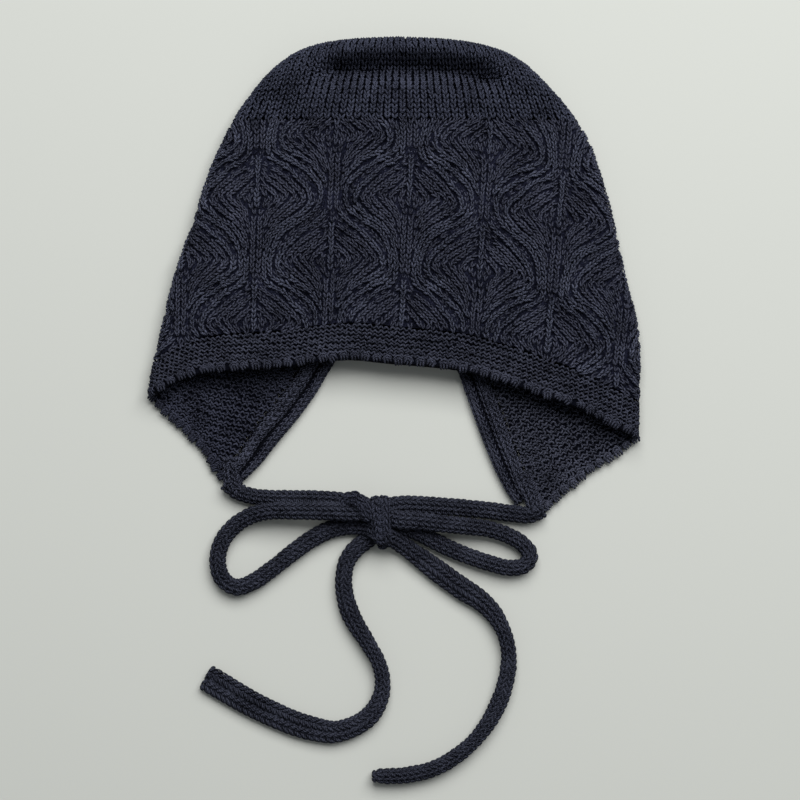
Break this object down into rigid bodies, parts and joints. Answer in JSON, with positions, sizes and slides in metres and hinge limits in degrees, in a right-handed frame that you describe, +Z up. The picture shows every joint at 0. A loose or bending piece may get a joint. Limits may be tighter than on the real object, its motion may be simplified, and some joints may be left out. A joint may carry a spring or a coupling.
{
  "type": "knitted hat",
  "caption": "Baby's knitted bonnet with raised diamond pattern, ear flaps and knitted cord ties tied in a bow, lying flat",
  "frame": {"origin": "on the surface that the hat lies on, under the middle of the hat's box without its cords", "axes": "+X across the hat, to the right of one who looks down at its forehead side with the crown away from them; +Y towards the crown; +Z up from the surface"},
  "size_m": [0.2054, 0.3133, 0.0168],
  "materials": {
    "crown_wool": "matt dark navy-charcoal knitted wool",
    "pattern_wool": "matt dark navy-charcoal knitted wool",
    "brim_wool": "matt dark navy-charcoal knitted wool",
    "left_flap_wool": "matt dark navy-charcoal knitted wool",
    "right_flap_wool": "matt dark navy-charcoal knitted wool",
    "neck_band_wool": "matt dark navy-charcoal knitted wool",
    "knot_wool": "matt dark navy-charcoal knitted wool",
    "tie_wool": "matt dark navy-charcoal knitted wool"
  },
  "bodies": {
    "root": {"crown": "crown_wool", "patterned_body": "pattern_wool", "brim_band": "brim_wool", "ear_flap_left": "left_flap_wool", "ear_flap_right": "right_flap_wool", "neck_band": "neck_band_wool", "bow_knot": "knot_wool", "tie_lead_left": "tie_wool", "tie_lead_right": "tie_wool", "bow_loop_left": "tie_wool", "bow_loop_right": "tie_wool", "tie_tail_left": "tie_wool", "tie_tail_right": "tie_wool"}
  },
  "joints": []
}
